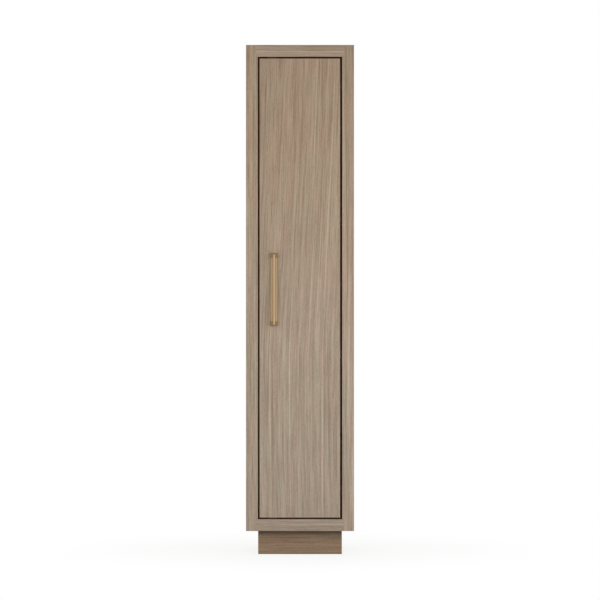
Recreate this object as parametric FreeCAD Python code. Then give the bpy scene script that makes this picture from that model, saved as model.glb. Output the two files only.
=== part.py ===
import FreeCAD, Part
import math
import os

os.makedirs("parts", exist_ok=True)

# A tall narrow storage cabinet with one inset slab door, hung on concealed cup hinges.
# Millimetres. X runs to the right, Y to the back, Z up. The origin is the middle of the floor under it.

# Sizes of the whole cabinet
body_width = 457.2
overall_height = 2159.0
case_depth = 533.4
plinth_height = 101.6

# Face frame
stile_width = 50.8
top_rail_width = 50.8
bottom_rail_width = 50.8
rail_housing = 8.5
frame_edge_radius = 1.0

# Gaps round the door
latch_gap = 6.3
hinge_gap = 7.6
top_gap = 6.4
bottom_gap = 6.0

# Door
door_thickness = 19.0
door_back_room = 1.6
door_edge_radius = 1.2

# Case
panel_thickness = 18.0
dado_depth = 6.0
back_thickness = 6.0
nailer_thickness = 18.0
nailer_width = 90.0

# Shelves: even compartments, one shelf housed in the sides and the others on pins
compartment_count = 6
fixed_shelf_number = 3
shelf_thickness = 18.0
shelf_edge_depth = 8.0
shelf_edge_radius = 1.0
shelf_side_clearance = 1.5
shelf_back_clearance = 2.0
shelf_post_clearance = 1.5

# Recessed plinth
plinth_side_recess = 50.8
plinth_front_recess = 50.8
plinth_back_recess = 20.0
plinth_board = 18.0

# Pull: its projection is measured from the door's face
pull_projection = 36.0
pull_inset = 61.4
pull_height = 1123.5
pull_centres = 288.0
pull_plate_width = 34.0
pull_plate_thickness = 2.6
pull_plate_margin = 0.5
pull_plate_edge_radius = 1.6
pull_bar_width = 8.8
pull_bar_depth = 10.0
pull_bar_end = 4.5
pull_bar_radius = 1.2
pull_foot_height = 18.0
pull_foot_depth = 5.0
pull_foot_edge_radius = 0.8
pull_neck_width = 8.4
pull_neck_height = 9.0
pull_screw_radius = 2.0
pull_screw_grip = 9.0
pull_screw_head_radius = 4.2
pull_screw_head_height = 2.4
pull_screw_hole_room = 0.4

# Screw heads: the rounding of the rim as a share of the head's height, and a cross cut into the head,
# whose half length and half width are shares of the head's radius and whose depth is one of its height
head_rounding_share = 0.5
recess_shares = (0.55, 0.14, 0.6)

# Fits
overrun = 5.0
fit_clearance = 0.05
open_pivot_clearance = 0.2
same_place = 0.01

# Places worked out from the sizes above
frame_thickness = door_thickness + door_back_room
front_y = pull_projection - (case_depth + pull_projection) / 2
back_y = front_y + case_depth
case_front = front_y + frame_thickness
door_back = front_y + door_thickness
left_x = -body_width / 2
right_x = body_width / 2
inner_left = left_x + panel_thickness
inner_right = right_x - panel_thickness
opening_left = left_x + stile_width
opening_right = right_x - stile_width
floor_top = plinth_height + bottom_rail_width
opening_top = overall_height - top_rail_width
ceiling = overall_height - panel_thickness
nailer_front = back_y - nailer_thickness
back_front = nailer_front - back_thickness
door_left = opening_left + latch_gap
door_right = opening_right - hinge_gap
door_bottom = floor_top + bottom_gap
door_top = opening_top - top_gap

along_x = FreeCAD.Vector(1, 0, 0)
along_y = FreeCAD.Vector(0, 1, 0)
along_z = FreeCAD.Vector(0, 0, 1)


def span(first, second):
    """Two places in rising order."""
    return (min(first, second), max(first, second))


def around(middle, length):
    """The two ends of a length that is centred on a place."""
    return (middle - length / 2, middle + length / 2)


def block(x_span, y_span, z_span):
    """A box between two places along each axis."""
    sizes = [ends[1] - ends[0] for ends in (x_span, y_span, z_span)]
    corner = FreeCAD.Vector(x_span[0], y_span[0], z_span[0])
    return Part.makeBox(*sizes, corner)


def rod(start, direction, length, radius):
    """A cylinder that starts at a point and runs along a direction."""
    return Part.makeCylinder(radius, length, FreeCAD.Vector(*start), direction)


def upright_rod(place, z_span, radius):
    """A cylinder standing on a place in plan, between two heights."""
    return rod((*place, z_span[0]), along_z, z_span[1] - z_span[0], radius)


def carried(corners, path):
    """A straight-sided outline carried along a path."""
    return Part.Face(Part.makePolygon(corners + corners[:1])).extrude(path)


def prism(places, z_span):
    """An outline in plan, carried up between two heights."""
    corners = [FreeCAD.Vector(x, y, z_span[0]) for x, y in places]
    return carried(corners, along_z * (z_span[1] - z_span[0]))


def side_profile(places, x_span):
    """An outline seen from the side, as (y, z) places, carried across between two places."""
    corners = [FreeCAD.Vector(x_span[0], y, z) for y, z in places]
    return carried(corners, along_x * (x_span[1] - x_span[0]))


def bar(start, end, radius, z_span):
    """A flat bar in plan with round ends, from one centre to another."""
    first = FreeCAD.Vector(*start, z_span[0])
    last = FreeCAD.Vector(*end, z_span[0])
    forward = (last - first).normalize() * radius
    side = along_z.cross(forward)
    outline = [
        Part.LineSegment(first + side, last + side).toShape(),
        Part.Arc(last + side, last + forward, last - side).toShape(),
        Part.LineSegment(last - side, first - side).toShape(),
        Part.Arc(first - side, first - forward, first + side).toShape(),
    ]
    return Part.Face(Part.Wire(outline)).extrude(along_z * (z_span[1] - z_span[0]))


def eased(piece, radius, chosen):
    """The piece with some of its edges rounded: those whose two ends pass a test."""
    edges = [edge for edge in piece.Edges if all(chosen(vertex.Point) for vertex in edge.Vertexes)]
    return piece.makeFillet(radius, edges)


def rounded(piece, radius, direction):
    """The piece with its corners rounded: all its edges that run along a direction."""
    edges = [
        edge for edge in piece.Edges
        if near(abs(edge.tangentAt(edge.FirstParameter).dot(direction)), 1)
    ]
    return piece.makeFillet(radius, edges)


def near(first, second):
    """True if two places along an axis are the same."""
    return abs(first - second) < same_place


def write(name, *solids):
    """Save one piece, or a group of like pieces, under its name."""
    shape = solids[0] if len(solids) == 1 else Part.makeCompound(list(solids))
    shape.exportStep(f"parts/{name}.step")
    print(name, len(shape.Solids), "solid", "valid" if shape.isValid() else "INVALID", round(shape.Volume))


# Hinge post: it fills the pocket behind the hinge stile, so the hinge plates lie flush with the opening.
# Its depth follows the plates that are screwed to it.
plate_behind = 34.0
plate_length = 36.0
plate_edge_room = 3.6
post_back = door_back + plate_behind + plate_length + plate_edge_room

# Shelf heights, counted from the bottom
shelf_front = post_back + shelf_post_clearance
shelf_numbers = range(1, compartment_count)
shelf_boards = (compartment_count - 1) * shelf_thickness
compartment_height = (ceiling - floor_top - shelf_boards) / compartment_count
loose_shelves = [number for number in shelf_numbers if number != fixed_shelf_number]

# Shelf pins and the short rows of holes that they go in
pin_radius = 2.5
pin_hole_depth = 9.0
pin_barrel_length = 8.5
pin_tongue_length = 11.0
pin_tongue_width = 9.0
pin_tongue_thickness = 2.4
pin_pitch = 32.0
pin_row_inset = 55.0
pin_hole_steps = (-1, 0, 1)
pin_rows = (shelf_front + pin_row_inset, back_front - pin_row_inset)

# Wall screws, through the back and the top nailer
wall_hole_radius = 2.75
wall_hole_spacing = 304.8

# Dowels of the face frame: two in each corner
dowel_radius = 4.0
dowel_length = 40.0
dowel_end_room = 1.0
dowel_clearance = 0.1
dowel_shares = (0.27, 0.73)

# Door stops near the latch corners: a short angle behind each rail, with a soft pad on it
stop_inset = 40.0
stop_width = 40.0
stop_thickness = 5.0
stop_reach = 18.0
stop_foot_depth = 26.0
stop_foot_thickness = 4.0
stop_corner_radius = 3.0
bumper_radius = 4.5
bumper_room = 0.3


def shelf_span(number):
    """The underside and the top of a shelf."""
    low = floor_top + number * compartment_height + (number - 1) * shelf_thickness
    return (low, low + shelf_thickness)


def pin_height(number):
    """The middle of the pins under a shelf."""
    return shelf_span(number)[0] - pin_tongue_thickness / 2


def side_panel(outer_x, inner_x):
    """One side, with housings for the panels that it holds, a groove for the back and rows of pin holes."""
    outward = math.copysign(1, outer_x)
    panel = block(span(outer_x, inner_x), (case_front, back_y), (plinth_height, overall_height))
    cut_x = span(inner_x - outward * overrun, inner_x + outward * dado_depth)
    whole_y = (case_front - overrun, back_y + overrun)
    cuts = [
        block(cut_x, whole_y, (floor_top - panel_thickness, floor_top)),
        block(cut_x, whole_y, (ceiling, overall_height + overrun)),
        block(cut_x, (shelf_front, nailer_front), shelf_span(fixed_shelf_number)),
        block(cut_x, (back_front, nailer_front), (floor_top - dado_depth, ceiling + dado_depth)),
    ]
    for number in loose_shelves:
        for row_y in pin_rows:
            for step in pin_hole_steps:
                start = (inner_x - outward * overrun, row_y, pin_height(number) + step * pin_pitch)
                cuts.append(rod(start, along_x * outward, pin_hole_depth + overrun, pin_radius))
    return panel.cut(cuts)


def housed_panel(z_span, groove_z):
    """The case's floor or top: let into both sides, with a groove for the back."""
    panel_x = (inner_left - dado_depth, inner_right + dado_depth)
    panel = block(panel_x, (case_front, back_y), z_span)
    return panel.cut(block(panel_x, (back_front, nailer_front), groove_z))


def wall_holes():
    """Two holes along Y near the top of the back."""
    length = nailer_thickness + back_thickness + 2 * overrun
    height = ceiling - nailer_width / 2
    return [
        rod((x, back_front - overrun, height), along_y, length, wall_hole_radius)
        for x in around(0, wall_hole_spacing)
    ]


def back_panel():
    """A thin back in grooves all round."""
    panel_x = (inner_left - dado_depth, inner_right + dado_depth)
    panel_z = (floor_top - dado_depth, ceiling + dado_depth)
    return block(panel_x, (back_front, nailer_front), panel_z).cut(wall_holes())


def nailer(z_span):
    """A rail behind the back, between the sides."""
    return block((inner_left, inner_right), (nailer_front, back_y), z_span).cut(wall_holes())


def plinth_boards():
    """A ladder frame under the case, mitred at its two front corners."""
    left, right = left_x + plinth_side_recess, right_x - plinth_side_recess
    front, back = front_y + plinth_front_recess, back_y - plinth_back_recess
    inner_front = front + plinth_board
    between = (left + plinth_board, right - plinth_board)
    heights = (0, floor_top - panel_thickness)
    return {
        "plinth_front": prism(
            [(left, front), (right, front), (between[1], inner_front), (between[0], inner_front)], heights
        ),
        "plinth_left": prism(
            [(left, front), (between[0], inner_front), (between[0], back), (left, back)], heights
        ),
        "plinth_right": prism(
            [(right, front), (right, back), (between[1], back), (between[1], inner_front)], heights
        ),
        "plinth_back": block(between, (back - plinth_board, back), heights),
    }


def face_frame():
    """The whole frame before it is parted into members, its front edges eased outside and inside."""
    whole = block((left_x, right_x), (front_y, case_front), (plinth_height, overall_height))
    opening_y = (front_y - overrun, case_front + overrun)
    frame = whole.cut(block((opening_left, opening_right), opening_y, (floor_top, opening_top)))
    return eased(frame, frame_edge_radius, lambda point: near(point.y, front_y))


rail_heights = {"bottom_rail": (plinth_height, floor_top), "top_rail": (opening_top, overall_height)}
rail_span = (opening_left - rail_housing, opening_right + rail_housing)


def dowel_rods(length, radius):
    """Rods across each joint of the face frame, in the middle of its thickness."""
    heights = [low + share * (high - low) for low, high in rail_heights.values() for share in dowel_shares]
    middle_y = front_y + frame_thickness / 2
    return [rod((x - length / 2, middle_y, z), along_x, length, radius) for x in rail_span for z in heights]


def dowel_holes():
    return dowel_rods(dowel_length + 2 * dowel_end_room, dowel_radius + dowel_clearance)


def rail_place(z_span):
    """The space that a rail takes, with its ends let into the stiles."""
    return block(rail_span, (front_y, case_front), z_span)


def rail(z_span):
    """A cross member of the face frame."""
    return face_frame().common(rail_place(z_span)).cut(dowel_holes())


def stile(outer_x, inner_x):
    """A full-height upright of the face frame, notched for the ends of the rails."""
    upright = block(span(outer_x, inner_x), (front_y, case_front), (plinth_height, overall_height))
    notches = [rail_place(z_span) for z_span in rail_heights.values()]
    return face_frame().common(upright).cut(notches + dowel_holes())


def shelf(number):
    """A shelf's board and its front edge strip."""
    fixed = number == fixed_shelf_number
    side_room = -dado_depth if fixed else shelf_side_clearance
    back_room = 0 if fixed else shelf_back_clearance
    shelf_x = (inner_left + side_room, inner_right - side_room)
    edge_back = shelf_front + shelf_edge_depth
    board = block(shelf_x, (edge_back, back_front - back_room), shelf_span(number))
    edge = block(shelf_x, (shelf_front, edge_back), shelf_span(number))
    edge = eased(edge, shelf_edge_radius, lambda point: near(point.y, shelf_front))
    return board, edge


def shelf_pins():
    """Under each loose shelf, four pins: a barrel in the side's hole and a flat tongue under the board."""
    pins = []
    for number in loose_shelves:
        for inner_x in (inner_left, inner_right):
            outward = math.copysign(1, inner_x)
            for row_y in pin_rows:
                centre = (inner_x, row_y, pin_height(number))
                barrel = rod(centre, along_x * outward, pin_barrel_length, pin_radius - fit_clearance)
                tongue = block(
                    span(inner_x - outward * pin_tongue_length, inner_x),
                    around(row_y, pin_tongue_width),
                    around(pin_height(number), pin_tongue_thickness),
                )
                pins.append(barrel.fuse(tongue).removeSplitter())
    return pins


stop_span = (opening_left + stop_inset, opening_left + stop_inset + stop_width)
stop_tips = (floor_top + stop_reach, opening_top - stop_reach)


def door_stop(foot_z, tip_z):
    """An angle on the case's floor, or under its top, whose upright reaches past the opening's edge."""
    inward = math.copysign(stop_foot_thickness, tip_z - foot_z)
    upright_back, foot_back = case_front + stop_thickness, case_front + stop_foot_depth
    sole = foot_z + inward
    outline = [
        (case_front, foot_z), (case_front, tip_z), (upright_back, tip_z),
        (upright_back, sole), (foot_back, sole), (foot_back, foot_z),
    ]
    stop = side_profile(outline, stop_span)
    return eased(
        stop, stop_corner_radius, lambda point: near(point.y, upright_back) and near(point.z, sole)
    )


def bumpers():
    """Soft pads on the stops, a hair's breadth behind the door's corners."""
    start_y = door_back + bumper_room
    length = case_front - start_y
    heights = [(edge + tip) / 2 for edge, tip in zip((door_bottom, door_top), stop_tips)]
    return [rod((sum(stop_span) / 2, start_y, z), along_y, length, bumper_radius) for z in heights]


# Hinges. Places in plan are measured from the closed door's back corner on the hinge side:
# "in" is away from the hinge edge along the door, "deep" is into the door from its back face.
# Each hinge is a four-bar linkage: two arm pins, two cup pins, an inner and an outer pair of link plates.
# With these eight places the outer links turn 0.24 and the inner links 0.74 of the door's turn,
# to within 0.06 mm at the inner links' cup pin, from closed to 105 degrees.
hinge_count = 4
hinge_end_distance = 110.0
inner_arm_pin_in = 21.0
inner_arm_pin_deep = 4.2
inner_cup_pin_in = 9.0
inner_cup_pin_deep = 8.4
outer_arm_pin_in = 27.6
outer_arm_pin_deep = 6.3
outer_cup_pin_in = 14.4
outer_cup_pin_deep = 5.0
link_pin_radius = 1.4
link_radius = 2.2
link_thickness = 1.5
layer_gap = 0.4

# Hinge cup, sunk in the door's back
cup_radius = 17.5
cup_edge_distance = 4.5
cup_depth = 11.9
cup_wall = 0.7
cup_hole_room = 0.1
cup_rim = 1.2
cup_rim_thickness = 1.0
cup_ear_thickness = 1.5
cup_ear_radius = 2.6
cup_wing_offset = 9.5
cup_wing_width = 13.0
cup_wing_height = 57.0
cup_wing_corner = 4.0
cup_screw_spacing = 45.0
cup_screw_radius = 1.7
cup_screw_length = 11.0
cup_screw_head_radius = 3.3
cup_screw_head_height = 1.2

# Hinge arm, which reaches round the open door's edge into the cup
nose_thickness = 6.0
nose_radius = 2.7
neck_radius = 3.2
wrist_in = 30.0
wrist_behind = 4.0
knee_in = 31.4
knee_behind = 17.0
elbow_in = 26.4
elbow_behind = 27.0
heel_behind = 31.5
arm_base_length = 40.0
arm_base_width = 17.0
arm_wall = 1.5
arm_skirt = 4.5
arm_end_radius = 2.5
arm_edge_radius = 0.8
arm_screw_shares = (0.32, 0.8)
arm_screw_radius = 1.7
arm_screw_grip = 5.0
arm_screw_head_radius = 3.0
arm_screw_head_height = 1.3

# Mounting plate, screwed to the hinge post
plate_height = 8.0
plate_width = 13.4
plate_wing_thickness = 2.0
plate_wing_length = 17.0
plate_wing_height = 52.0
plate_wing_corner = 4.0
plate_screw_spacing = 32.0
plate_screw_radius = 1.8
plate_screw_length = 13.0
plate_screw_head_radius = 3.4
plate_screw_head_height = 1.6


def hinge_heights():
    first, last = door_bottom + hinge_end_distance, door_top - hinge_end_distance
    step = (last - first) / (hinge_count - 1)
    return [first + index * step for index in range(hinge_count)]


def from_corner(inward, behind):
    """A place in plan, measured from the closed door's back corner on the hinge side."""
    return (door_right - inward, door_back + behind)


inner_arm_pin = from_corner(inner_arm_pin_in, -inner_arm_pin_deep)
inner_cup_pin = from_corner(inner_cup_pin_in, -inner_cup_pin_deep)
outer_arm_pin = from_corner(outer_arm_pin_in, -outer_arm_pin_deep)
outer_cup_pin = from_corner(outer_cup_pin_in, -outer_cup_pin_deep)

# Layers of the hinge, as distances above and below its middle: nose, inner links, outer links, cup ears
nose_half = nose_thickness / 2
inner_layer = nose_half + layer_gap
inner_layer_end = inner_layer + link_thickness
outer_layer = inner_layer_end + layer_gap
outer_layer_end = outer_layer + link_thickness
ear_layer = outer_layer_end + layer_gap
ear_layer_end = ear_layer + cup_ear_thickness


def layer_pair(middle, near_side, far_side):
    """The two spans of height of a layer, above and below the hinge's middle."""
    return [(middle + near_side, middle + far_side), (middle - far_side, middle - near_side)]


def link_pair(arm_pin, cup_pin, spans, cup_clearance):
    """Two like plates with a hole at each end, one above and one below the arm's nose."""
    plates = []
    for z_span in spans:
        plate = bar(arm_pin, cup_pin, link_radius, z_span)
        arm_hole = upright_rod(arm_pin, z_span, link_pin_radius + fit_clearance)
        cup_hole = upright_rod(cup_pin, z_span, link_pin_radius + cup_clearance)
        plates.append(plate.cut([arm_hole, cup_hole]))
    return plates


def inner_links(middle):
    """The pair nearer the arm. Its cup pin is the pivot that is left with room."""
    spans = layer_pair(middle, inner_layer, inner_layer_end)
    return link_pair(inner_arm_pin, inner_cup_pin, spans, open_pivot_clearance)


def outer_links(middle):
    """The pair that the door hangs on."""
    spans = layer_pair(middle, outer_layer, outer_layer_end)
    return link_pair(outer_arm_pin, outer_cup_pin, spans, fit_clearance)


def arm_pins(middle):
    """Two pins through the nose of the arm, each as long as its links need."""
    return [
        upright_rod(inner_arm_pin, (middle - inner_layer_end, middle + inner_layer_end), link_pin_radius),
        upright_rod(outer_arm_pin, (middle - outer_layer_end, middle + outer_layer_end), link_pin_radius),
    ]


def cup_pins(middle):
    """Stub pins in the ears of the cup, which leave the middle free for the arm's nose."""
    layers = ((inner_cup_pin, inner_layer), (outer_cup_pin, outer_layer))
    return [
        upright_rod(place, ends, link_pin_radius)
        for place, first_layer in layers
        for ends in layer_pair(middle, first_layer, ear_layer_end)
    ]


arm_top = opening_right - plate_height - arm_wall
arm_start = door_back + heel_behind - neck_radius
arm_span = (arm_start, arm_start + arm_base_length)
arm_screw_places = [arm_start + share * arm_base_length for share in arm_screw_shares]


def arm_base(middle):
    """A channel that straddles the plate, eased outside, with its ends rounded."""
    plate_top = opening_right - plate_height
    base = block((arm_top, plate_top + arm_skirt), arm_span, around(middle, arm_base_width))
    base = rounded(base, arm_end_radius, along_x)
    base = eased(base, arm_edge_radius, lambda point: near(point.x, arm_top))
    hollow_x = (plate_top, opening_right + overrun)
    hollow_y = (arm_span[0] - overrun, arm_span[1] + overrun)
    return base.cut(block(hollow_x, hollow_y, around(middle, arm_base_width - 2 * arm_wall)))


def arm_screw_holes(middle):
    """Holes through the arm and into its plate, for the screws that hold and set the arm."""
    radius = arm_screw_radius + fit_clearance
    return [rod((arm_top, y, middle), along_x, arm_wall + arm_screw_grip, radius) for y in arm_screw_places]


def hinge_arm(middle):
    """The channel, and a flat neck that hooks round from it into the cup."""
    wrist = from_corner(wrist_in, wrist_behind)
    knee = from_corner(knee_in, knee_behind)
    elbow = from_corner(elbow_in, elbow_behind)
    heel = (arm_top + neck_radius, door_back + heel_behind)
    flat = (middle - nose_half, middle + nose_half)
    bends = ((heel, elbow), (elbow, knee), (knee, wrist))
    neck = [bar(start, end, neck_radius, flat) for start, end in bends]
    nose = [
        bar(wrist, outer_arm_pin, nose_radius, flat),
        bar(wrist, inner_arm_pin, nose_radius, flat),
        bar(inner_arm_pin, outer_arm_pin, nose_radius, flat),
        prism([wrist, outer_arm_pin, inner_arm_pin], flat),
    ]
    stop_x, stop_y = (opening_right - plate_height, opening_right), (arm_span[0] - overrun, arm_span[1])
    neck_stop = block(stop_x, stop_y, flat)
    arm = arm_base(middle).fuse([piece.cut(neck_stop) for piece in neck] + nose).removeSplitter()
    hole_radius = link_pin_radius + fit_clearance
    pin_holes = [upright_rod(pin, flat, hole_radius) for pin in (inner_arm_pin, outer_arm_pin)]
    return arm.cut(pin_holes + arm_screw_holes(middle))


def arm_screws(middle):
    return [
        screw((arm_top, y, middle), along_x, arm_wall + arm_screw_grip, arm_screw_radius,
              arm_screw_head_radius, arm_screw_head_height)
        for y in arm_screw_places
    ]


def plate_screw_places(middle):
    screw_y = door_back + plate_behind + plate_length / 2
    return [(screw_y, z) for z in around(middle, plate_screw_spacing)]


def hinge_plate(middle):
    """A raised seat for the arm, with wings above and below it for the screws."""
    seat_y = (door_back + plate_behind, door_back + plate_behind + plate_length)
    seat = block((opening_right - plate_height, opening_right), seat_y, around(middle, plate_width))
    wing_x = (opening_right - plate_wing_thickness, opening_right)
    wing_y = around(sum(seat_y) / 2, plate_wing_length)
    wing = block(wing_x, wing_y, around(middle, plate_wing_height))
    wing = rounded(wing, plate_wing_corner, along_x)
    holes = [
        rod((opening_right - plate_height, y, z), along_x, plate_height, plate_screw_radius + fit_clearance)
        for y, z in plate_screw_places(middle)
    ]
    return seat.fuse(wing).removeSplitter().cut(holes + arm_screw_holes(middle))


def screw_recess(top, direction, head_radius, head_height):
    """The two crossing slots in a screw's head."""
    half_length, half_width = [share * head_radius for share in recess_shares[:2]]
    path = direction * (overrun + recess_shares[2] * head_height)
    sideways = direction.cross(along_z)
    slots = []
    for lengthwise, across in ((along_z, sideways), (sideways, along_z)):
        reach, breadth = lengthwise * half_length, across * half_width
        outline = [-reach - breadth, reach - breadth, reach + breadth, breadth - reach]
        slots.append(carried([top - direction * overrun + corner for corner in outline], path))
    return slots


def screw(start, direction, length, radius, head_radius, head_height):
    """A screw: a head with a rounded rim in front of the start, and a plain shank along the direction."""
    top = FreeCAD.Vector(*start) - direction * head_height
    head = rod(tuple(top), direction, head_height, head_radius)
    rounding = head_rounding_share * head_height
    head = eased(head, rounding, lambda point: near((point - top).dot(direction), 0))
    whole = head.fuse(rod(start, direction, length, radius)).removeSplitter()
    return whole.cut(screw_recess(top, direction, head_radius, head_height))


def plate_screws(middle):
    start_x = opening_right - plate_wing_thickness
    return [
        screw((start_x, y, z), along_x, plate_screw_length, plate_screw_radius,
              plate_screw_head_radius, plate_screw_head_height)
        for y, z in plate_screw_places(middle)
    ]


def hinge_post():
    """An upright behind the hinge stile, with a pilot hole for each plate screw."""
    post = block((opening_right, inner_right), (case_front, post_back), (floor_top, ceiling))
    places = [place for middle in hinge_heights() for place in plate_screw_places(middle)]
    start_x, length = opening_right - overrun, plate_screw_length + overrun
    radius = plate_screw_radius + fit_clearance
    return post.cut([rod((start_x, y, z), along_x, length, radius) for y, z in places])


cup_x = door_right - cup_edge_distance - cup_radius
cup_wing_x = cup_x - cup_wing_offset
cup_floor_y = door_back - cup_depth + cup_wall


def cup_screw_places(middle):
    return [(cup_wing_x, z) for z in around(middle, cup_screw_spacing)]


def hinge_cup(middle):
    """A cup with a rim and two screw wings on the door's back, and two ears inside for the link pins."""
    outer = rod((cup_x, door_back, middle), -along_y, cup_depth, cup_radius)
    rim = rod((cup_x, door_back, middle), along_y, cup_rim_thickness, cup_radius + cup_rim)
    wing_y = (door_back, door_back + cup_rim_thickness)
    wings = block(around(cup_wing_x, cup_wing_width), wing_y, around(middle, cup_wing_height))
    wings = rounded(wings, cup_wing_corner, along_y)
    hollow_length = cup_depth - cup_wall + cup_rim_thickness
    hollow = rod((cup_x, cup_floor_y, middle), along_y, hollow_length, cup_radius - cup_wall)
    cup = outer.fuse([rim, wings]).cut(hollow)
    ear_y = (cup_floor_y, outer_cup_pin[1] + cup_ear_radius)
    ear_x = (outer_cup_pin[0] - cup_ear_radius, inner_cup_pin[0] + cup_ear_radius)
    for z_span in layer_pair(middle, ear_layer, ear_layer_end):
        cup = cup.fuse(block(ear_x, ear_y, z_span).common(hollow))
    cuts = []
    for pin in (inner_cup_pin, outer_cup_pin):
        for z_span in layer_pair(middle, ear_layer, ear_layer_end):
            cuts.append(upright_rod(pin, z_span, link_pin_radius + fit_clearance))
    for x, z in cup_screw_places(middle):
        cuts.append(rod((x, door_back, z), along_y, cup_rim_thickness, cup_screw_radius + fit_clearance))
    return cup.removeSplitter().cut(cuts)


def cup_screws(middle):
    start_y = door_back + cup_rim_thickness
    return [
        screw((x, start_y, z), -along_y, cup_screw_length, cup_screw_radius,
              cup_screw_head_radius, cup_screw_head_height)
        for x, z in cup_screw_places(middle)
    ]


pull_x = door_left + pull_inset
pull_plate_length = pull_centres + pull_foot_height + 2 * pull_plate_margin
pull_foot_width = pull_plate_width - 2 * pull_plate_margin
pull_bar_length = pull_centres + 2 * pull_bar_end
pull_heights = around(pull_height, pull_centres)
plate_front = front_y - pull_plate_thickness
bar_back = front_y - pull_projection + pull_bar_depth


def door_panel():
    """A flat slab with eased front edges, bored for the hinge cups, their screws and the pull's screws."""
    slab = block((door_left, door_right), (front_y, door_back), (door_bottom, door_top))
    slab = eased(slab, door_edge_radius, lambda point: near(point.y, front_y))
    cuts = []
    for middle in hinge_heights():
        bore = (cup_x, door_back + overrun, middle)
        cuts.append(rod(bore, -along_y, overrun + cup_depth + cup_hole_room, cup_radius + cup_hole_room))
        for x, z in cup_screw_places(middle):
            depth = cup_screw_length - cup_rim_thickness
            cuts.append(rod((x, door_back, z), -along_y, depth, cup_screw_radius + fit_clearance))
    for z in pull_heights:
        start = (pull_x, front_y - overrun, z)
        radius = pull_screw_radius + pull_screw_hole_room
        cuts.append(rod(start, along_y, door_thickness + 2 * overrun, radius))
    return slab.cut(cuts)


def pull_screw_rod(z, radius):
    """The shank of a pull's screw, from the door's back to its end in the foot."""
    length = door_thickness + pull_plate_thickness + pull_screw_grip
    return rod((pull_x, door_back, z), -along_y, length, radius)


def pull_plate():
    """A long backing plate on the door's face, its front edges eased."""
    plate = block(
        around(pull_x, pull_plate_width), (plate_front, front_y), around(pull_height, pull_plate_length)
    )
    plate = eased(plate, pull_plate_edge_radius, lambda point: near(point.y, plate_front))
    return plate.cut([pull_screw_rod(z, pull_screw_radius + pull_screw_hole_room) for z in pull_heights])


def pull_posts():
    """At each end a broad foot on the plate, and a square neck that carries the bar."""
    posts = []
    for z in pull_heights:
        foot_y = (plate_front - pull_foot_depth, plate_front)
        foot = block(around(pull_x, pull_foot_width), foot_y, around(z, pull_foot_height))
        foot = eased(foot, pull_foot_edge_radius, lambda point: near(point.y, foot_y[0]))
        neck = block(around(pull_x, pull_neck_width), (bar_back, foot_y[0]), around(z, pull_neck_height))
        post = foot.fuse(neck).removeSplitter()
        posts.append(post.cut(pull_screw_rod(z, pull_screw_radius + fit_clearance)))
    return posts


def pull_bar():
    """A straight bar with its long edges and ends eased."""
    bar_y = (front_y - pull_projection, bar_back)
    piece = block(around(pull_x, pull_bar_width), bar_y, around(pull_height, pull_bar_length))
    return eased(piece, pull_bar_radius, lambda point: True)


def pull_screws():
    length = door_thickness + pull_plate_thickness + pull_screw_grip
    return [
        screw((pull_x, door_back, z), -along_y, length, pull_screw_radius,
              pull_screw_head_radius, pull_screw_head_height)
        for z in pull_heights
    ]


write("side_left", side_panel(left_x, inner_left))
write("side_right", side_panel(right_x, inner_right))
write(
    "bottom_panel",
    housed_panel((floor_top - panel_thickness, floor_top), (floor_top - dado_depth, floor_top)),
)
write("top_panel", housed_panel((ceiling, overall_height), (ceiling, ceiling + dado_depth)))
write("back_panel", back_panel())
write("top_nailer", nailer((ceiling - nailer_width, ceiling)))
write("bottom_nailer", nailer((floor_top, floor_top + nailer_width)))

for board_name, board in plinth_boards().items():
    write(board_name, board)

write("stile_left", stile(left_x, opening_left))
write("stile_right", stile(right_x, opening_right))
for rail_name, rail_height in rail_heights.items():
    write(rail_name, rail(rail_height))
write("frame_dowels", *dowel_rods(dowel_length, dowel_radius))
write("hinge_post", hinge_post())
write("stop_strip", door_stop(floor_top, stop_tips[0]), door_stop(ceiling, stop_tips[1]))
write("bumpers", *bumpers())

for shelf_number in shelf_numbers:
    shelf_board, shelf_edge = shelf(shelf_number)
    shelf_name = "fixed_shelf" if shelf_number == fixed_shelf_number else f"shelf_{shelf_number}"
    write(shelf_name, shelf_board)
    write(f"{shelf_name}_edge", shelf_edge)
write("shelf_pins", *shelf_pins())

for hinge_number, hinge_middle in enumerate(hinge_heights(), 1):
    write(f"hinge_plate_{hinge_number}", hinge_plate(hinge_middle))
    write(f"hinge_arm_{hinge_number}", hinge_arm(hinge_middle))
    write(f"hinge_cup_{hinge_number}", hinge_cup(hinge_middle))
    write(f"inner_link_{hinge_number}", *inner_links(hinge_middle))
    write(f"outer_link_{hinge_number}", *outer_links(hinge_middle))
for group_name, group in (
    ("arm_pins", arm_pins),
    ("arm_screws", arm_screws),
    ("cup_pins", cup_pins),
    ("plate_screws", plate_screws),
    ("cup_screws", cup_screws),
):
    write(group_name, *[solid for hinge_middle in hinge_heights() for solid in group(hinge_middle)])

write("door_panel", door_panel())
write("pull_plate", pull_plate())
write("pull_posts", *pull_posts())
write("pull_bar", pull_bar())
write("pull_screws", *pull_screws())
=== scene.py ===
import math

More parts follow.
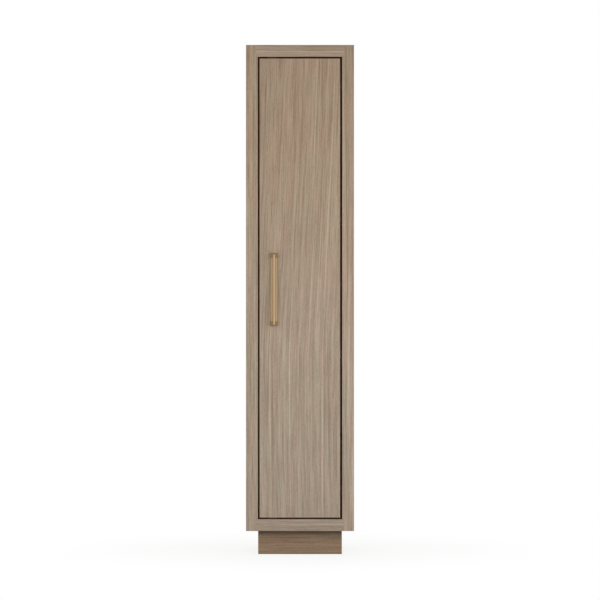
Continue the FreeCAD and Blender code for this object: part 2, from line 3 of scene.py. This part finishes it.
import bpy
import numpy as np
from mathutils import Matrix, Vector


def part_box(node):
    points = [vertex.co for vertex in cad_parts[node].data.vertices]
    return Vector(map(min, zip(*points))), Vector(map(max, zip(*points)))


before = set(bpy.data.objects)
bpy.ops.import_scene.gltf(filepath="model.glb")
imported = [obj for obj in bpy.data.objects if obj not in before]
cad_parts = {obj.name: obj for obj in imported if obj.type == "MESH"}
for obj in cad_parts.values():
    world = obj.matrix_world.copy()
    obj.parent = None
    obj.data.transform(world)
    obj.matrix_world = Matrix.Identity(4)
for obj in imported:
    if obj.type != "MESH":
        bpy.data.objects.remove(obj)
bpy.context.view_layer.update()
scene = bpy.context.scene
print("cabinet loaded:", len(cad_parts), "pieces")


# A shader value that works in sums: each operator adds one Math node.
class Value:
    def __init__(self, finish, socket):
        self.finish = finish
        self.socket = socket

    def math(self, operation, *others):
        given = {place + 1: other for place, other in enumerate(others)}
        return self.finish.node("ShaderNodeMath", {"operation": operation}, {0: self, **given})

    def __add__(self, other):
        return self.math("ADD", other)

    def __radd__(self, other):
        return self.math("ADD", other)

    def __sub__(self, other):
        return self.math("SUBTRACT", other)

    def __rsub__(self, other):
        return self.finish.node("ShaderNodeMath", {"operation": "SUBTRACT"}, {0: other, 1: self})

    def __mul__(self, other):
        return self.math("MULTIPLY", other)

    def __rmul__(self, other):
        return self.math("MULTIPLY", other)

    def __truediv__(self, other):
        return self.math("DIVIDE", other)


# One material: its node tree, the one method that adds nodes, and the few mixes used below.
class Finish:
    def __init__(self, name):
        self.material = bpy.data.materials.new(name)
        self.material.use_nodes = True
        self.tree = self.material.node_tree
        self.shader = self.tree.nodes["Principled BSDF"]
        self.position = self.node("ShaderNodeTexCoord", output="Object")    # on the piece, in metres
        split = self.node("ShaderNodeSeparateXYZ", None, {0: self.position}).socket.node
        self.axes = {axis: Value(self, split.outputs[axis]) for axis in "XYZ"}

    # kind: the node's type; settings are set first; sockets: name or number to a value or a link
    def node(self, kind, settings=None, sockets=None, output=0):
        made = self.tree.nodes.new(kind)
        for name, setting in (settings or {}).items():
            setattr(made, name, setting)
        for name, given in (sockets or {}).items():
            self.feed(made.inputs[name], given)
        return Value(self, made.outputs[output])

    def feed(self, socket, given):
        if isinstance(given, Value):
            self.tree.links.new(given.socket, socket)
        else:
            socket.default_value = given

    def set(self, **given):
        for name, value in given.items():
            self.feed(self.shader.inputs[name.replace("_", " ")], value)

    def point(self, x, y, z):
        return self.node("ShaderNodeCombineXYZ", None, {0: x, 1: y, 2: z})

    # position times a stretch on each axis, plus a shift
    def stretched(self, position, stretch, shift=(0.0, 0.0, 0.0)):
        sockets = {"Vector": position, "Scale": stretch, "Location": shift}
        return self.node("ShaderNodeMapping", {"vector_type": "POINT"}, sockets)

    def noise(self, position, detail=2.0, roughness=0.5):
        sockets = {"Vector": position, "Scale": 1.0, "Detail": detail, "Roughness": roughness}
        return self.node("ShaderNodeTexNoise", {"noise_dimensions": "3D"}, sockets)

    # 0 at low, 1 at high, smooth between
    def between(self, value, low, high):
        sockets = {"Value": value, "From Min": low, "From Max": high}
        return self.node("ShaderNodeMapRange", {"interpolation_type": "SMOOTHSTEP"}, sockets)

    def mix(self, factor, first, second, blend="MIX"):
        settings = {"data_type": "RGBA", "blend_type": blend}
        return self.node("ShaderNodeMix", settings, {0: factor, 6: first, 7: second}, 2)

    def bump(self, height, strength, distance):
        sockets = {"Height": height, "Strength": strength, "Distance": distance}
        return self.node("ShaderNodeBump", None, sockets)


# sRGB numbers from 0 to 255 as the linear colour that a shader takes
def colour(red, green, blue):
    shares = np.array([red, green, blue]) / 255.0
    linear = np.where(shares <= 0.04045, shares / 12.92, ((shares + 0.055) / 1.055) ** 2.4)
    return (*map(float, linear), 1.0)


def dress(node, material):
    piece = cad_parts[node]
    for place in range(len(piece.material_slots)):
        piece.material_slots[place].material = material


oakLook = {
    "early": (186, 168, 147),         # pale wood between the lines
    "late": (124, 103, 81),           # late wood, the dark of each line
    "pale": (210, 195, 175),          # a few long pale lines
    "pore": (88, 70, 52),
    "fleck": (188, 172, 150),         # rays
    "tone": 0.97,                     # lightness of the whole board
    "contrast": 0.88,                 # how strongly the streaks show
    # streaks, widest first: how many a metre across the grain and along it, and how strong each is
    "streaks": (
        (9.0, 0.5, 0.05),
        (20.0, 0.6, 0.04),
        (48.0, 0.7, 0.09),
        (112.0, 1.2, 0.36),
        (240.0, 8.0, 0.44),
    ),
    "streakDepth": 0.5,               # how many streaks lie through the board for one across it
    "streakSteps": (1.7, 2.9, 4.3),   # how far apart in the noise the widths of streak are read
    "seedStep": 3.7,                  # how far along the grain one more of the seed moves a board
    "wander": 0.008,                  # how far the lines stray to the side, in metres
    "wanderPace": 2.2,                # how often that changes from line to line, in a metre across
    "lean": 0.0,                      # sideways run of the lines, for each metre along them beyond leanFrom
    "leanFrom": 0.0,
    # finer noise: how many a metre across, through and along the grain, a shift, then detail and roughness
    "noise": {
        "thinLines": ((150.0, 60.0, 2.4), (3.1, 8.4, 2.2), 1.0, 0.5),
        "paleLines": ((110.0, 50.0, 0.6), (6.4, 2.2, 8.1), 1.0, 0.5),
        "hue": ((44.0, 20.0, 2.6), (7.3, 1.9, 4.1), 2.0, 0.5),
        "fibres": ((1500.0, 500.0, 22.0), (5.5, 0.7, 9.1), 3.0, 0.6),
        "pores": ((2600.0, 2600.0, 90.0), (1.5, 6.2, 0.4), 1.0, 0.5),
        "rays": ((420.0, 900.0, 60.0), (8.8, 3.3, 5.6), 1.0, 0.5),
    },
    # what that noise lays over the streaks: where it begins and is full, how strongly, and its colour
    "coats": {
        "thinLines": (0.61, 0.67, 0.5, "late"),
        "paleLines": (0.62, 0.72, 0.32, "pale"),
        "fibres": (0.50, 0.28, 0.30, "late"),
        "rays": (0.68, 0.76, 0.30, "fleck"),
    },
    "poreRange": (0.52, 0.62),
    "poreCrowding": 0.10,             # how much the pores gather where the streaks are dark
    "poreStrength": 0.5,
    "warm": (1.026, 0.978, 0.968, 1.0),   # tints that the wood is multiplied by, in patches
    "cool": (0.974, 1.014, 0.996, 1.0),
    "mottle": (11.0, 11.0, 6.0),      # patches a metre
    "mottleShare": 0.4,               # of the patches in the tint, beside the finer hue noise
    "hueRange": (0.38, 0.62),
    # the light in the room of the photograph is warmer above: tints at the floor and at the top
    "lowTint": (0.94, 0.96, 1.005, 1.0),
    "highTint": (0.945, 0.896, 0.832, 1.0),
    "tintHeights": (0.2, 2.1),
    "shade": 0.0,                     # painted shade: a darkening towards a height, and how far below it this begins
    "shadeTop": 0.0,
    "shadeReach": 0.03,
    "shadeTone": (26, 17, 11),
    "arris": (88, 44, 28),            # painted shade on the eased edges round the door, inside the gaps
    "arrises": (),                    # which they are: the axis, and 0 for its low end or 1 for its high
    "arrisWidth": 0.0014,
    "arrisDepth": (0.0045, 0.0015),   # from the front, where the dark begins and is full
    "arrisStrength": 0.9,
    "roughness": 0.5,
    "fibreRoughness": 0.10,
    "poreRoughness": 0.18,
    "specular": 0.5,
    "reliefStrength": 0.55,
    "reliefDepth": 0.00012,
    "fibreRelief": 0.25,              # the fibres' height beside the pores' depth
}


# Oak, as a solid: noise drawn out along the grain in five widths of streak, bent by a slow drift and a
# lean, with thin and pale lines, fibres, open pores and a few rays. A place in the wood is across, through
# and along it, and the seed moves each board to its own part of the noise.
def oak(name, grain, thickAxis, seed, box, **changes):
    look = {**oakLook, **changes}
    finish = Finish(name)
    acrossAxis = next(axis for axis in "XYZ" if axis not in grain + thickAxis)
    across, through, along = (finish.axes[axis] for axis in (acrossAxis, thickAxis, grain))
    pace = look["wanderPace"]
    drift = finish.noise(finish.point(across * pace, through * pace, along + seed), 1.0)
    leaning = (along - look["leanFrom"]).math("MAXIMUM", 0.0) * look["lean"]
    bent = across + leaning + (drift - 0.5) * (look["wander"] * 2.0)
    wood = finish.point(bent, through, along + seed * look["seedStep"])

    figure = 0.5    # 0 is late wood and 1 early; each noise swings about 0.5, so it is doubled
    for place, (many, lengthwise, strength) in enumerate(look["streaks"]):
        sideways, inward, onward = (step * place for step in look["streakSteps"])
        stretch = (many, many * look["streakDepth"], lengthwise)
        streak = finish.noise(finish.stretched(wood, stretch, (sideways + seed, inward, onward)), 1.0)
        figure = figure + (streak - 0.5) * (strength * look["contrast"] * 2.0)
    finer = {}
    for part, (stretch, shift, detail, roughness) in look["noise"].items():
        finer[part] = finish.noise(finish.stretched(wood, stretch, shift), detail, roughness)
    pore = finish.between(finer["pores"] - figure * look["poreCrowding"], *look["poreRange"])

    body = finish.mix(figure, colour(*look["late"]), colour(*look["early"]))
    for part, (low, high, strength, tone) in look["coats"].items():
        body = finish.mix(finish.between(finer[part], low, high) * strength, body, colour(*look[tone]))
    body = finish.mix(pore * look["poreStrength"], body, colour(*look["pore"]))

    mottle = finish.noise(finish.stretched(finish.position, look["mottle"], (seed, 2.0, 6.0)), 2.0)
    patches = finer["hue"] * (1.0 - look["mottleShare"]) + mottle * look["mottleShare"]
    warmth = finish.between(patches, *look["hueRange"])
    # painted light: the wood is cooler near the floor and warmer and darker towards the top
    height = finish.between(finish.axes["Z"], *look["tintHeights"])
    tints = (
        finish.mix(warmth, look["cool"], look["warm"]),
        finish.mix(height, look["lowTint"], look["highTint"]),
        (look["tone"], look["tone"], look["tone"], 1.0),
    )
    for tint in tints:
        body = finish.mix(1.0, body, tint, "MULTIPLY")

    # painted shade under the cabinet's overhang, darkest at its top
    if look["shade"]:
        paintedShadeFrom = look["shadeTop"] - look["shadeReach"]
        shade = finish.between(finish.axes["Z"], paintedShadeFrom, look["shadeTop"]) * look["shade"]
        body = finish.mix(shade, body, colour(*look["shadeTone"]))
    # painted shade of the gaps round the door, on the eased edges behind the front
    for axis, end in look["arrises"]:
        nearFront = finish.between(finish.axes["Y"] - box[0][1], *look["arrisDepth"])
        fromEnd = (finish.axes[axis] - box[end]["XYZ".index(axis)]).math("ABSOLUTE")
        arris = finish.between(fromEnd, look["arrisWidth"], 0.0) * nearFront
        body = finish.mix(arris * look["arrisStrength"], body, colour(*look["arris"]))
    return finish, look, body, finer["fibres"], pore


# The oak as a finished surface: matt, with its pores and fibres in relief
def solidOak(name, grain, thickAxis, seed, box, **changes):
    finish, look, body, fibre, pore = oak(name, grain, thickAxis, seed, box, **changes)
    relief = 1.0 - pore + fibre * look["fibreRelief"]
    finish.set(
        Base_Color=body,
        Roughness=look["roughness"] + fibre * look["fibreRoughness"] + pore * look["poreRoughness"],
        Specular_IOR_Level=look["specular"],
        Normal=finish.bump(relief, look["reliefStrength"], look["reliefDepth"]),
    )
    return finish.material


plyLook = {
    "veneer": 0.0006,                 # metres
    "veneerBlend": 1.2,               # the core begins fully at this many times the veneer's depth
    "layer": 0.0014,
    "longLayer": (186, 167, 140),
    "endLayer": (144, 122, 96),
    "layerEdge": (0.47, 0.53),        # where one layer turns into the next, as a share of the two
    "grit": (700.0, 700.0, 700.0),    # specks a metre in the cut layers
    "gritRange": (0.62, 0.38),
    "gritStrength": 0.4,
    "cutRoughness": 0.2,              # how much rougher the cut layers are
}


# Veneered board: oak on both faces, and bands of layers wherever its thickness shows. A layer's number is
# the depth from the nearer face over the layer's thickness, and every second one is end grain.
def plyOak(name, grain, thickAxis, seed, box, **changes):
    finish, look, body, fibre, pore = oak(name, grain, thickAxis, seed, box, **changes)
    low, high = [corner["XYZ".index(thickAxis)] for corner in box]
    inward = (finish.axes[thickAxis] - low).math("MINIMUM", high - finish.axes[thickAxis])
    inside = finish.between(inward, plyLook["veneer"], plyLook["veneer"] * plyLook["veneerBlend"])
    layer = ((inward - plyLook["veneer"]) / (2.0 * plyLook["layer"])).math("FRACT")
    grit = finish.noise(finish.stretched(finish.position, plyLook["grit"], (seed, 0.0, 0.0)), 3.0, 0.6)
    endGrain = finish.between(layer, *plyLook["layerEdge"])
    core = finish.mix(endGrain, colour(*plyLook["longLayer"]), colour(*plyLook["endLayer"]))
    speck = finish.between(grit, *plyLook["gritRange"]) * plyLook["gritStrength"]
    relief = (1.0 - pore + fibre * look["fibreRelief"]) * (1.0 - inside) + grit * inside
    finish.set(
        Base_Color=finish.mix(inside, body, finish.mix(speck, core, colour(*look["late"]))),
        Roughness=look["roughness"] + fibre * look["fibreRoughness"] + inside * plyLook["cutRoughness"],
        Normal=finish.bump(relief, look["reliefStrength"], look["reliefDepth"]),
    )
    return finish.material


# the thinner of the two axes across a board's grain
def thinAxis(box, grain):
    extents = {axis: high - low for axis, low, high in zip("XYZ", *box) if axis != grain}
    return min(extents, key=extents.get)


plinthLook = {                        # a darker, browner oak whose darkness is in part painted shade of the recess, with more painted shade right under the cabinet
    "tone": 0.66,
    "lowTint": (1.045, 0.92, 0.81, 1.0),
    "specular": 0.25,
    "shade": 0.7,
    "shadeTop": float(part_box("bottom_rail")[0][2]),
}
doorLook = {                          # its lines lean in the upper part
    "lean": -0.045,
    "leanFrom": 0.85,
    "arrises": (("X", 0), ("X", 1), ("Z", 0), ("Z", 1)),
}
# the top rail: its own, weaker tint of the painted warm light from above
topRailLook = {
    "tone": 0.94,
    "highTint": (0.975, 0.955, 0.93, 1.0),
    "arrises": (("Z", 0),),
}
sideLook = {"wander": 0.03}

# boards: the grain's axis, a seed for the board's own figure, and what differs from the look above
solidBoards = {
    "door_panel": ("Z", 1.3, doorLook),
    "stile_left": ("Z", 6.6, {"arrises": (("X", 1),)}),
    "stile_right": ("Z", 9.4, {"tone": 0.95, "arrises": (("X", 0),)}),
    "top_rail": ("X", 3.2, topRailLook),
    "bottom_rail": ("X", 6.1, {"tone": 0.87, "contrast": 0.8, "arrises": (("Z", 1),)}),
    "plinth_front": ("X", 2.7, plinthLook),
    "plinth_back": ("X", 2.9, plinthLook),
    "plinth_left": ("Y", 4.4, plinthLook),
    "plinth_right": ("Y", 4.7, plinthLook),
    "hinge_post": ("Z", 2.1, {}),
    "top_nailer": ("X", 8.9, {}),
    "bottom_nailer": ("X", 9.7, {}),
}
plyBoards = {
    "side_left": ("Z", 7.7, sideLook),
    "side_right": ("Z", 1.9, sideLook),
    "back_panel": ("Z", 4.1, {}),
    "top_panel": ("X", 8.2, {}),
    "bottom_panel": ("X", 5.2, {}),
}
shelfGrain = "X"
shelfBoards = sorted(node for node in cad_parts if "shelf" in node and node != "shelf_pins")
for place, node in enumerate(shelfBoards):
    boards = solidBoards if node.endswith("_edge") else plyBoards
    boards[node] = (shelfGrain, 10.3 + 1.7 * place, {})
for boards, makeOak, prefix in ((solidBoards, solidOak, "oak "), (plyBoards, plyOak, "oak veneer ")):
    for node, (grain, seed, changes) in boards.items():
        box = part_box(node)
        name = prefix + node.replace("_", " ")
        dress(node, makeOak(name, grain, thinAxis(box, grain), seed, box, **changes))
print("oak boards dressed:", len(solidBoards), "solid and", len(plyBoards), "veneered")


metalLook = {
    # one satin brass for the pull: the plate's darker base is painted shade, and the feet's darker one is
    # deeper painted shade
    "brassBar": {"base": (162, 141, 114), "dark": (141, 120, 94), "roughness": 0.34},
    "brassPlate": {"base": (148, 129, 101), "dark": (127, 108, 82), "roughness": 0.36},
    "brassFoot": {"base": (128, 106, 79), "dark": (96, 76, 53), "roughness": 0.38},
    "nickel": {"base": (196, 193, 186), "dark": (164, 161, 154), "roughness": 0.42},
    # hinge mounting plates: a dark, brownish nickel that is painted shade, for where they sit in the hinge
    # gap
    "nickelPlate": {"base": (84, 76, 67), "dark": (66, 60, 52), "roughness": 0.44},
    "zinc": {"base": (186, 187, 188), "dark": (140, 142, 145), "roughness": 0.34},
}
paintedShadeEdges = {                         # painted shade on the brass's sides: its colour, and how far in it reaches
    "brassBar": ((126, 102, 74), 0.010),
    "brassPlate": ((98, 79, 57), 0.006),
    "brassFoot": ((98, 78, 56), 0.006),
}
brushing = {
    "hair": (5200.0, 5200.0, 60.0),   # how many a metre on each axis
    "cloud": (40.0, 40.0, 18.0),
    "cloudShare": 0.4,
    "hairRoughness": 0.12,
    "cloudRoughness": 0.08,
    "edgeStrength": 0.8,
    "reliefStrength": 0.25,
    "reliefDepth": 0.00002,
}


# Brushed metal: hair-thin noise drawn out along the brushing, over a slow cloud of handling marks,
# and painted shade: a darker tone near the given sides. Sides are places on X.
def brushed(name, metal, sides=()):
    look = metalLook[metal]
    finish = Finish(name)
    hair = finish.noise(finish.stretched(finish.position, brushing["hair"]), 3.0, 0.65)
    cloud = finish.noise(finish.stretched(finish.position, brushing["cloud"]), 3.0, 0.5)
    shine = hair * (1.0 - brushing["cloudShare"]) + cloud * brushing["cloudShare"]
    tint = finish.mix(shine, colour(*look["dark"]), colour(*look["base"]))
    # painted shade along each given side
    for side in sides:
        edge, width = paintedShadeEdges[metal]
        fromSide = (finish.axes["X"] - side).math("ABSOLUTE")
        paintedEdgeShade = finish.between(fromSide, width, 0.0) * brushing["edgeStrength"]
        tint = finish.mix(paintedEdgeShade, tint, colour(*edge))
    smoothest = look["roughness"] - brushing["cloudRoughness"]
    finish.set(
        Base_Color=tint,
        Metallic=1.0,
        Roughness=smoothest + hair * brushing["hairRoughness"] + cloud * brushing["cloudRoughness"],
        Normal=finish.bump(hair, brushing["reliefStrength"], brushing["reliefDepth"]),
    )
    return finish.material


# where a piece ends at its left and at its right
def sidesOf(node):
    return [corner[0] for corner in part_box(node)]


dress("pull_bar", brushed("satin brass, bar", "brassBar", sidesOf("pull_bar")[:1]))    # painted shade on its left side, as if lit from the right
dress("pull_plate", brushed("satin brass, plate", "brassPlate", sidesOf("pull_plate")))
dress("pull_posts", brushed("satin brass, feet", "brassFoot", sidesOf("pull_posts")))
nickel = brushed("nickel plate", "nickel")
zinc = brushed("zinc plate", "zinc")
# the same nickel darkened as painted shade, for the mounting plates in the hinge gap
nickelPlate = brushed("nickel, mounting plates", "nickelPlate")
nickelled = ("hinge_arm", "hinge_cup", "inner_link", "outer_link", "arm_pins", "cup_pins", "shelf_pins")
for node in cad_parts:
    if node.startswith("hinge_plate"):
        dress(node, nickelPlate)
    elif node.startswith(nickelled):
        dress(node, nickel)
    elif node.endswith("screws"):
        dress(node, zinc)


smallParts = {
    "bumpers": {
        "name": "clear soft pad",
        "tones": ((188, 184, 176), (206, 203, 196)),
        "stretch": (900.0, 900.0, 900.0),     # specks a metre on each axis
        "roughness": 0.35,
        "depth": 0.00005,
    },
    "frame_dowels": {
        "name": "beech dowel",
        "tones": ((178, 142, 104), (206, 172, 132)),
        "stretch": (30.0, 900.0, 900.0),
        "roughness": 0.55,
        "depth": 0.00006,
    },
    "stop_strip": {
        "name": "dark moulded plastic",
        "tones": ((50, 42, 36), (64, 54, 47)),
        "stretch": (1400.0, 1400.0, 1400.0),
        "roughness": 0.45,
        "depth": 0.00004,
    },
}


speckle = {
    "range": (0.3, 0.7),              # of the noise, from the first tone to the second
    "roughness": 0.2,                 # what the specks add to the roughness
    "reliefStrength": 0.3,
}


# Small parts: a speckle of fine noise between two tones, stretched where the stuff has a grain
def speckled(name, tones, stretch, roughness, depth):
    finish = Finish(name)
    speck = finish.noise(finish.stretched(finish.position, stretch), 3.0)
    amount = finish.between(speck, *speckle["range"])
    finish.set(
        Base_Color=finish.mix(amount, colour(*tones[0]), colour(*tones[1])),
        Roughness=roughness + speck * speckle["roughness"],
        Normal=finish.bump(speck, speckle["reliefStrength"], depth),
    )
    return finish.material


for node, look in smallParts.items():
    dress(node, speckled(**look))
print("metal and small parts dressed")


# Floor, light and camera
studio = {
    "cameraDistance": 12.8,       # from the front of the frame, as the photograph's perspective gives it
    "cameraHeight": 1.0795,       # half way up the cabinet
    "lens": 181.5,
    "worldLight": 0.32,
    "floorSize": 40.0,
    "floorTone": (236, 235, 233),
    "floorRoughness": 0.8,
    "shadowReach": (0.35, 1.2),   # how far out the floor fades to plain white
    "shadowDepth": 0.14,          # how much of its own shading the floor keeps beside the cabinet
}
# lamps: where each stands, what it aims at, its size and its power
lamps = {
    "left key": ((-1.2, -2.2, 0.98), (0.0, -0.2, 1.1), 2.6, 20.8),
    "right key": ((1.2, -2.2, 0.98), (0.0, -0.2, 1.1), 2.6, 36.6),
    "left fill": ((-3.2, -0.2, 1.6), (0.0, 0.0, 1.0), 2.4, 26.0),
    "right fill": ((3.2, -0.2, 1.6), (0.0, 0.0, 1.0), 2.4, 26.0),
    "back fill": ((0.0, 3.6, 1.8), (0.0, 0.0, 1.0), 2.4, 52.0),
    "overhead": ((0.0, -0.3, 4.4), (0.0, 0.0, 1.0), 2.4, 12.0),
}
white = (1.0, 1.0, 1.0, 1.0)


# 1 for what the camera sees, straight or in a mirror or through glass, and 0 for light on the object
def seenRay(finish):
    rays = finish.node("ShaderNodeLightPath", output="Is Camera Ray")
    outputs = rays.socket.node.outputs
    glossy = Value(finish, outputs["Is Glossy Ray"])
    through = Value(finish, outputs["Is Transmission Ray"])
    return rays.math("MAXIMUM", glossy).math("MAXIMUM", through)


class Backdrop(Finish):
    def __init__(self, name):
        self.world = bpy.data.worlds.new(name)
        self.world.use_nodes = True
        self.tree = self.world.node_tree
        self.shader = self.tree.nodes["Background"]


# White to the camera and to reflections, a plain soft level as light on the object
def makeWorld():
    backdrop = Backdrop("studio")
    scene.world = backdrop.world
    plain = studio["worldLight"]
    backdrop.set(Color=white, Strength=plain + seenRay(backdrop) * (1.0 - plain))


# A pale floor that fades to white away from the cabinet, and keeps its shadow near it
def makeFloor():
    half = studio["floorSize"] / 2
    mesh = bpy.data.meshes.new("floor")
    corners = [(-half, -half, 0.0), (half, -half, 0.0), (half, half, 0.0), (-half, half, 0.0)]
    mesh.from_pydata(corners, [], [(0, 1, 2, 3)])
    floor = bpy.data.objects.new("floor", mesh)
    scene.collection.objects.link(floor)
    finish = Finish("pale floor")
    finish.set(Base_Color=colour(*studio["floorTone"]), Roughness=studio["floorRoughness"])
    away = finish.node("ShaderNodeVectorMath", {"operation": "LENGTH"}, {0: finish.position}, "Value")
    glow = finish.node("ShaderNodeEmission", None, {"Color": white, "Strength": 1.0})
    kept = (1.0 - finish.between(away, *studio["shadowReach"])) * studio["shadowDepth"]
    lit = Value(finish, finish.shader.outputs[0])
    blend = finish.node("ShaderNodeMixShader", None, {0: seenRay(finish) * (1.0 - kept), 1: lit, 2: glow})
    finish.feed(finish.tree.nodes["Material Output"].inputs["Surface"], blend)
    mesh.materials.append(finish.material)


def areaLight(name, place, target, size, power):
    lamp = bpy.data.lights.new(name, "AREA")
    lamp.shape = "SQUARE"
    lamp.size = size
    lamp.energy = power
    holder = bpy.data.objects.new(name, lamp)
    scene.collection.objects.link(holder)
    holder.location = place
    aim = np.array(target) - np.array(place)
    yaw = math.atan2(aim[0], -aim[1])
    pitch = math.atan2(math.hypot(aim[0], aim[1]), -aim[2])
    holder.rotation_euler = (pitch, 0.0, yaw + math.pi)


def makeCamera():
    lens = bpy.data.cameras.new("camera")
    lens.lens = studio["lens"]
    lens.sensor_width = 36.0
    lens.clip_end = 100.0
    holder = bpy.data.objects.new("camera", lens)
    scene.collection.objects.link(holder)
    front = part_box("stile_left")[0][1]
    holder.location = (0.0, front - studio["cameraDistance"], studio["cameraHeight"])
    holder.rotation_euler = (math.pi / 2, 0.0, 0.0)
    scene.camera = holder


makeWorld()
makeFloor()
makeCamera()
for name, given in lamps.items():
    areaLight(name, *given)
scene.view_settings.view_transform = "Standard"
print("studio ready")
